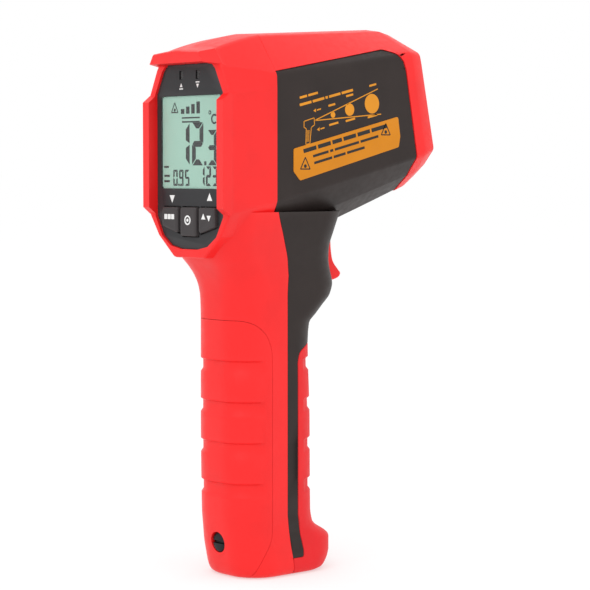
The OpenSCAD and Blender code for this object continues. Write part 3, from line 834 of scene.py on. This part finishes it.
WINDOW_EXTRA = 2.2  # the photographed window is this much wider than the CAD's
LCD_W = window_high.x - window_low.x + WINDOW_EXTRA
LCD_Z = (window_low.z + window_high.z) / 2
LCD_H = window_high.z - window_low.z
INK_Y = window_low.y + 0.5  # the glass's face, which carries the marks
KEY_HALF, KEY_LIFT = 4.7, 2.6  # half a key's width; how far an outer key's far corner is raised


def key_outline(place, d=0.0):
    low, high = span(("key_left", "key_centre", "key_right")[place + 1])
    middle = (low.x + high.x) / 2
    half, top, bottom = KEY_HALF, high.z, low.z
    right_rise, left_rise = (0, KEY_LIFT) if place < 0 else (KEY_LIFT, 0) if place > 0 else (0, 0)
    points = [(middle - half, top), (middle + half, top), (middle + half, bottom + right_rise),
              (middle - half, bottom + left_rise)]
    return inset(points, d)


def lcd():
    """The display: a thin clear window flush with the panel, and the glass close behind it."""
    x, z = LCD_W / 2, LCD_H / 2

    def opening(d, r):
        return box_outline(-x + d, LCD_Z - z + d, x - d, LCD_Z + z - d, r, 4)

    pane = facing(opening(0.06, 1.2), window_low.y, INK_Y - 0.1)
    finished(pane, "lcd_window_pane", "clear_window", "housing", ["lcd_window"])
    glass = join(facing(opening(0.1, 1.2), INK_Y, glass_low.y + 0.1),
                 facing(opening(0.3, 0.6), glass_low.y, glass_high.y))
    finished(glass, "lcd_glass_cell", "lcd", "housing", ["lcd_glass"])


def display_panel():
    x, z = LCD_W / 2, LCD_H / 2
    holes = [facing(box_outline(-x, LCD_Z - z, x, LCD_Z + z, 1.2, 4), BEHIND, 0)]
    holes += [facing(key_outline(place, -0.35), BEHIND, 0) for place in (-1, 0, 1)]
    for node in ("light_pipe_high", "light_pipe_low"):
        low, high = span(node)
        holes.append(facing(box_outline(low.x - 0.1, low.z - 0.1, high.x + 0.1, high.z + 0.1), BEHIND, 0))
    body = facing(rounded(panel_outline(0.12), 1.2, 4), panel_low.y, panel_high.y)
    return finished(cut(body, *holes), "display_panel_plate", "panel_plastic", "housing", ["display_panel"])


def flat_print(name, outlines, y0, y1, material, body="housing"):
    """Thin raised print on a face that looks along -Y, from outlines in (x, z)."""
    base = facing(outlines[0], y0, y1)
    bm = bmesh.new()
    bm.from_mesh(base.data)
    for outline in outlines[1:]:
        other = facing(outline, y0, y1)
        bm.from_mesh(other.data)
        remove(other)
    bm.to_mesh(base.data)
    bm.free()
    return finished(base, name, material, body)


def ring_outlines(centre, r, width, n=24, start=0, stop=360):
    """A ring or an arc as a run of small quadrilaterals."""
    made = []
    for i in range(n):
        a, b = (math.radians(mix(start, stop, (i + j) / n)) for j in (0, 1))
        made.append([
            Vector((centre[0] + rr * math.cos(t), centre[1] + rr * math.sin(t)))
            for rr, t in ((r, a), (r, b), (r - width, b), (r - width, a))
        ])
    return made


def bar(p, q, width):
    """A straight bar from p to q as an outline."""
    p, q = Vector(p), Vector(q)
    along = (q - p).normalized()
    side = Vector((-along.y, along.x)) * width / 2
    return [p + side, q + side, q - side, p - side]


def segment_digit(digit, x, z, w, h, t):
    """A seven-segment digit with its lower left corner at (x, z)."""
    lit = {
        "0": "abcdef", "1": "bc", "2": "abged", "3": "abgcd", "4": "fgbc",
        "5": "afgcd", "6": "afgcde", "7": "abc", "8": "abcdefg", "9": "abcdfg",
    }[digit]
    gap, half = t * 0.14, h / 2
    flat = {"a": h, "g": half, "d": 0}
    upright = {"f": (0, half, h), "b": (w, half, h), "e": (0, 0, half), "c": (w, 0, half)}
    made = []
    for name in lit:
        if name in flat:
            zz, tuck = flat[name], t * 0.5
            inner = -t if name == "a" else t if name == "d" else 0
            if name == "g":
                points = [(gap + tuck, zz + tuck), (w - gap - tuck, zz + tuck), (w - gap, zz),
                          (w - gap - tuck, zz - tuck), (gap + tuck, zz - tuck), (gap, zz)]
            else:
                points = [(gap, zz), (w - gap, zz), (w - gap - t, zz + inner), (gap + t, zz + inner)]
        else:
            xx, z0, z1 = upright[name]
            inner = t if xx == 0 else -t
            low_cut, high_cut = (t, t * 0.5) if z0 == 0 else (t * 0.5, t)
            points = [(xx, z0 + gap), (xx, z1 - gap), (xx + inner, z1 - gap - high_cut),
                      (xx + inner, z0 + gap + low_cut)]
        made.append([Vector((x + px, z + pz)) for px, pz in points])
    return made


def digits(text, x, z, w, h, t, pitch):
    made = []
    for character in text:
        if character == ".":
            made.append(box_outline(x - pitch * 0.16, z, x - pitch * 0.16 + t, z + t))
        else:
            made += segment_digit(character, x, z, w, h, t)
            x += pitch
    return made


def triangle(centre, r, up=1, width=0.0):
    points = [
        (centre[0] + r * 0.95 * math.sin(a), centre[1] + up * r * math.cos(a))
        for a in (0, 2 * math.pi / 3, 4 * math.pi / 3)
    ]
    if not width:
        return [points]
    return [bar(p, q, width) for p, q in zip(points, points[1:] + points[:1])]


def lcd_marks():
    left, bottom = -LCD_W / 2 + 1.1, LCD_Z - LCD_H / 2
    marks = []
    marks += digits("12", left + 8.6, bottom + 8.7, 6.7, 15.8, 2.2, 8.2)
    marks += digits("3", left + 26.1, bottom + 8.7, 5.4, 12.9, 1.8, 6)
    marks.append(box_outline(left + 24.0, bottom + 8.7, left + 25.3, bottom + 10.2))
    marks += digits("0.95", left + 5.4, bottom + 1.1, 2.6, 6.0, 0.8, 3.55)
    marks += digits("123", left + 21.2, bottom + 1.1, 3.0, 7.2, 1.0, 3.8)
    for z in (2.4, 4.4):
        marks.append(box_outline(left - 0.1, bottom + z, left + 3.2, bottom + z + 0.8))
    marks.append(box_outline(left - 0.2, bottom + 7.8, left + 2.6, bottom + 8.5))
    marks += triangle((left + 6.4, bottom + 29.6), 2.4, 1, 0.42)
    marks.append(circle((left + 6.4, bottom + 29.3), 0.6, 12))
    for i in range(4):
        x = left + 10.2 + 3.1 * i
        marks.append(box_outline(x, bottom + 27.8, x + 2, bottom + 29.6 + 0.85 * i))
    marks += [bar((left + 10.8, z), (left + 21.4, z), 0.55) for z in (bottom + 24.8, bottom + 26.3)]
    marks += ring_outlines((left + 27.4, bottom + 28.0), 0.8, 0.4, 12)
    marks += ring_outlines((left + 30.0, bottom + 25.6), 1.9, 0.7, 12, 50, 310)
    return flat_print("lcd_marks", marks, INK_Y - 0.06, INK_Y + 0.02, "lcd_ink")


def panel_marks():
    high = span("light_pipe_high")[0]
    low = span("light_pipe_low")[0]
    marks = []
    for x, up in ((high.x + 1.0, 1), (low.x + 1.0, -1)):
        marks += triangle((x, high.z - 2.4), 0.95, up)
        marks.append(bar((x - 1.1, high.z - 2.4 - up * 1.15), (x + 1.1, high.z - 2.4 - up * 1.15), 0.4))
    for place, up in ((-1, -1), (1, 1)):
        low_key, high_key = span("key_left" if place < 0 else "key_right")
        marks += triangle(((low_key.x + high_key.x) / 2 + 0.2 * place, high_key.z + 3.4), 1.9, up)
    return flat_print("panel_marks", marks, PANEL_Y - 0.03, PANEL_Y + 0.04, "print_white")


def key(place):
    name = ("left", "centre", "right")[place + 1]
    front = span("key_" + name)[0].y
    rings = []
    # Depth behind the cap's face and distance in from its outline, from the base to the dished middle.
    profile = ((3.6, 0.0), (0.85, 0.0), (0.5, 0.06), (0.22, 0.26), (0.06, 0.6), (0.02, 1.2), (0.16, 2.2))
    for depth, d in profile:
        outline = rounded(key_outline(place, d), max(0.9 - d * 0.5, 0.3), 4)
        rings.append([(p.x, front + depth, p.y) for p in outline])
    cap = loft("key", rings)
    flange = facing(key_outline(place, -0.6), front + 3.7, front + 4.6)
    flange.data.transform(Matrix.Translation((-0.4 * place, 0, 0)))
    finished(join(cap, flange), f"key_{name}_cap", "key_rubber", "key_" + name, ["key_" + name])
    middle = sum((p for p in key_outline(place)), Vector((0, 0))) / 4 + Vector((0, 0.6))
    if place < 0:
        starts = [middle.x - 3.0 + 2.1 * i for i in range(3)]
        marks = [box_outline(x, middle.y - 0.95, x + 1.7, middle.y + 0.95, 0.2, 2) for x in starts]
    elif place == 0:
        marks = ring_outlines(middle, 1.8, 0.55, 20) + [circle(middle, 0.6, 12)]
    else:
        marks = triangle((middle.x - 1.6, middle.y), 1.4, 1) + triangle((middle.x + 1.6, middle.y), 1.4, -1)
    flat_print(
        f"key_{name}_mark", marks, front - 0.02, front + 0.3, "print_white", "key_" + name)


lcd()
display_panel()
lcd_marks()
panel_marks()
for place in (-1, 0, 1):
    key(place)


# ---- Trigger ----


def trigger():
    pin_y, pin_z, _ = trigger_slot()
    half = span("trigger")[1].x
    front = curve([
        (pin_y + 3, pin_z - 1.2), (31, 130.6), (32.2, 127), (32.6, 122.5), (33.6, 118.2), (36.2, 115),
        (37.5, 113.4), (36.6, 111.8), (34.2, 110.9), (30.2, 110.5),
    ], 5)
    rear = curve([(27.4, 111.4), (28, 116), (26.4, 122), (24.4, 128), (22.5, 130.2)], 4)
    outline = [Vector((pin_y - 3, pin_z + 2.4)), Vector((pin_y + 1.6, pin_z + 2.4)), *front, *rear]
    rings = []
    for x, d in ((-half, 1.0), (-half + 0.12, 0.55), (-half + 0.4, 0.22), (-half + 1.0, 0.0)):
        rings.append([(x, p.x, p.y) for p in inset(outline, d)])
    rings += [[(-x, y, z) for x, y, z in ring] for ring in reversed(rings)]
    body = loft("trigger", rings)
    body = cut(body, rod((-4.5, pin_y, pin_z), X, 3.6, 9),
               side_prism(box_outline(15, pin_z - 8, pin_y, pin_z + 6), -4.5, 4.5),
               rod((-12, pin_y, pin_z), X, BORE_R, 24))
    return finished(body, "trigger_lever", "red_shell", "trigger", ["trigger"], angle=40)


trigger()


# ---- Label and printed diagram on the side panel ----


def side_print(name, outlines, x0, x1, material):
    """Thin print on the right side panel, from outlines in (y, z)."""
    base = side_prism(outlines[0], x0, x1)
    bm = bmesh.new()
    bm.from_mesh(base.data)
    for outline in outlines[1:]:
        other = side_prism(outline, x0, x1)
        bm.from_mesh(other.data)
        remove(other)
    bm.to_mesh(base.data)
    bm.free()
    return finished(base, name, material, "housing")


LABEL_SLANT = math.radians(13.2)


def tilted(y, z, corner):
    """A point given along and above the label's own slanted line."""
    s, c = math.sin(LABEL_SLANT), math.cos(LABEL_SLANT)
    return Vector((corner[0] + y * c - z * s, corner[1] + y * s + z * c))


def tilted_bar(y0, y1, z, h, corner):
    return [tilted(y0, z - h / 2, corner), tilted(y1, z - h / 2, corner), tilted(y1, z + h / 2, corner),
            tilted(y0, z + h / 2, corner)]


def word_bars(y0, y1, z, h, corner, words):
    """Generic bars where the photographed label has a line of print."""
    total = sum(words) + 0.55 * (len(words) - 1)
    made, y = [], y0
    for word in words:
        length = (y1 - y0) * word / total
        made.append(tilted_bar(y, y + length, z, h, corner))
        y += length + (y1 - y0) * 0.55 / total
    return made


def label():
    face = HALF - DROP
    outline = [(-2.2, 161.4), (51.4, 174.2), (52.6, 166.6), (51.8, 162.4), (1, 149.6), (-2.2, 153)]
    film = loft("label", [[(x, p.x, p.y) for p in rounded(inset(outline, d), 0.8, 3)]
                          for x, d in ((face - 0.02, 0), (face + 0.16, 0), (face + 0.22, 0.07))])
    finished(film, "label_film", "label_film", "housing", ["side_label"])
    corner = (-2.2, 157.2)
    black = word_bars(5.4, 49.2, 2.15, 1.5, corner, (4, 4, 3, 4, 4, 5))
    black += word_bars(9.6, 44.0, -0.75, 0.95, corner, (5, 1, 8, 6))
    black += word_bars(9.6, 36.0, -3.35, 0.95, corner, (6, 4, 6))
    for y, z in ((5.1, -3.1), (48.3, 0.3)):
        centre = tilted(y, z, corner)
        black += triangle(centre, 2.9, 1, 0.42)
        black.append(circle(centre - Vector((0, 0.35)), 0.7, 12))
    side_print("label_marks", black, face + 0.2, face + 0.26, "print_black")


def diagram():
    """The spot-size diagram: a small thermometer, two lines and three growing discs."""
    face = HALF - DROP
    orange = [bar((8.5, 172.1), (40.6, 184.6), 0.38), bar((8.5, 172.0), (42.4, 175.0), 0.38)]
    for y, z, r in ((17.5, 174.3, 1.15), (26.0, 176.4, 2.35), (37.6, 178.9, 3.75)):
        orange.append(circle((y, z), r, 32))
    head = [
        (3.0, 171.6), (8.0, 173.0), (8.2, 170.4), (6.6, 169.4), (5.9, 163.4), (3.9, 163.0), (4.1, 168.9),
        (3.0, 169.4),
    ]
    orange += [bar(p, q, 0.32) for p, q in zip(head, head[1:] + head[:1])]
    orange += [bar((4.4 + 0.45 * i, 164.0), (4.7 + 0.45 * i, 168.4), 0.2) for i in range(3)]
    for y, z in ((7.6, 175.6), (9.4, 168.6)):
        orange.append([Vector((y, z)), Vector((y + 1.3, z + 0.9)), Vector((y + 1.3, z - 0.5))])
        orange.append(bar((y + 1.8, z + 0.3), (y + 3.8, z + 0.8), 0.5))
    for y, z, length in (
        (15.2, 177.6, 3.4), (24.2, 181.4, 3.6), (36.2, 185.6, 3.6),
        (15.6, 170.4, 4.6), (24.0, 172.0, 4.8), (35.4, 173.6, 5.0),
    ):
        orange.append(bar((y, z), (y + length, z + 0.23 * length), 0.75))
    orange += word_bars(0, 9.2, 0, 0.85, (0.9, 180.3), (3, 4))
    orange += word_bars(0, 27.5, 0, 0.95, (0.9, 177.6), (5, 5, 1, 5, 5))
    side_print("side_diagram", orange, face - 0.02, face + 0.05, "print_orange")


label()
diagram()


# ---- Screw ----


def cover_screw():
    back, tip = screw_low.y, screw_high.y
    length = tip - back
    profile = [(0, 0), (3.1, 0.0), (3.55, 0.25), (3.7, 0.6), (3.7, 2.2), (3.6, 2.3), (1.5, 2.3),
               (1.5, length - 0.5), (1.0, length), (0, length)]
    body = lathe("screw", profile)
    body.data.transform(Matrix.Translation((0, back, SCREW_Z)) @ Matrix.Rotation(math.radians(-90), 4, "X"))
    body = cut(body, facing(box_outline(-5, SCREW_Z - 0.5, 5, SCREW_Z + 0.5), back - 1, back + 1.1))
    return finished(body, "cover_screw_slotted", "black_metal", "cover_screw", ["cover_screw"], bevel=0.12)


cover_screw()


# ---- The other nodes keep their CAD shape ----

carried = {
    "lcd_backlight": "white_diffuser", "lcd_frame": "black_plastic",
    "contact_strip": "contact_rubber", "main_board": "circuit_board", "keypad_mat": "silicone_mat",
    "light_pipe_high": "light_pipe", "light_pipe_low": "light_pipe", "buzzer": "black_plastic",
    "nose_insert": "black_plastic", "lens_ring": "black_metal", "ir_lens": "lens_glass",
    "optical_tube": "tube_metal", "ir_sensor": "steel", "sensor_board": "circuit_board",
    "laser_module": "brass", "cover_insert": "brass", "housing_screws": "steel",
    "trigger_pin": "steel", "trigger_spring": "steel", "trigger_switch": "black_plastic",
    "battery": "battery_case", "battery_snap": "black_plastic", "battery_leads": "lead_red",
    "battery_tray": "black_plastic",
}
rounding = {"nose_insert": 0.25, "lens_ring": 0.15, "battery": 0.3, "battery_snap": 0.4, "battery_tray": 0.2,
            "trigger_switch": 0.2, "buzzer": 0.2, "optical_tube": 0.2, "cover_insert": 0.12}
for node, material in carried.items():
    obj = NODES[node]
    for slot_of in obj.material_slots:
        slot_of.material = mats[material]
    if not obj.material_slots:
        obj.data.materials.append(mats[material])
    if node in rounding:
        mod = obj.modifiers.new("edges", "BEVEL")
        mod.width, mod.segments, mod.limit_method = rounding[node] * MM, 2, "ANGLE"
        mod.angle_limit = math.radians(40)
        mod.use_clamp_overlap = True
        mod.harden_normals = True


# ---- Stage, light and camera ----

PHOTO_SIZE = 590  # the photograph's side, in pixels
FOCAL = 2000  # the lens, in the same pixels
SENSOR = 36

target = Vector((-0.0013, 0.0203, 0.105))
azimuth, elevation, distance = math.radians(49), math.radians(3.58), 0.7782
level = math.cos(elevation)
back = Vector((math.sin(azimuth) * level, -math.cos(azimuth) * level, math.sin(elevation)))

camera = bpy.data.objects.new("camera", bpy.data.cameras.new("camera"))
bpy.context.scene.collection.objects.link(camera)
camera.data.sensor_width = SENSOR
camera.data.lens = FOCAL / PHOTO_SIZE * SENSOR
camera.location = target + back * distance
camera.rotation_mode = "QUATERNION"
camera.rotation_quaternion = (-back).to_track_quat("-Z", "Y")
camera.data.clip_start, camera.data.clip_end = 0.01, 50
bpy.context.scene.camera = camera


def light(name, direction, far, size, power):
    """A soft round lamp that looks at the part from a direction."""
    lamp = bpy.data.lights.new(name, "AREA")
    lamp.shape, lamp.size, lamp.energy = "DISK", size, power
    obj = bpy.data.objects.new(name, lamp)
    bpy.context.scene.collection.objects.link(obj)
    direction = Vector(direction).normalized()
    obj.location = target + direction * far
    obj.rotation_mode = "QUATERNION"
    obj.rotation_quaternion = (-direction).to_track_quat("-Z", "Y")


right = Vector((math.cos(azimuth), math.sin(azimuth), 0))
light("key", back * 1.0 - right * 0.5 + Z * 1.1, 1.3, 1.1, 3.6)
light("fill", back * 1.0 + right * 1.1 + Z * 0.4, 1.4, 1.2, 1.2)
light("above", Z + back * 0.15, 1.3, 1.4, 1.2)

world = bpy.data.worlds.new("world")
bpy.context.scene.world = world
world.use_nodes = True
world.node_tree.nodes["Background"].inputs["Color"].default_value = (1, 1, 1, 1)
world.node_tree.nodes["Background"].inputs["Strength"].default_value = 1.0

bm = bmesh.new()
FLOOR_HALF, FLOOR_Z = 30, -0.0004
corners = ((-1, -1), (1, -1), (1, 1), (-1, 1))
bm.faces.new([bm.verts.new((x * FLOOR_HALF, y * FLOOR_HALF, FLOOR_Z)) for x, y in corners])
floor = from_bmesh("floor", bm)
PAPER = 0.5  # the floor is half lit and half its own glow, so that it meets the white world unseen
paper = moulded("floor_paper", (PAPER, PAPER, PAPER), 0.9, 300.0, 0.05, 0.0, 0.01, 0.0)
glow = paper.node_tree.nodes["Principled BSDF"].inputs
glow["Emission Color"].default_value = (1, 1, 1, 1)
glow["Emission Strength"].default_value = 1 - PAPER
floor.data.materials.append(paper)
for face in floor.data.polygons:
    face.use_smooth = True
bpy.context.scene.view_settings.view_transform = "Standard"
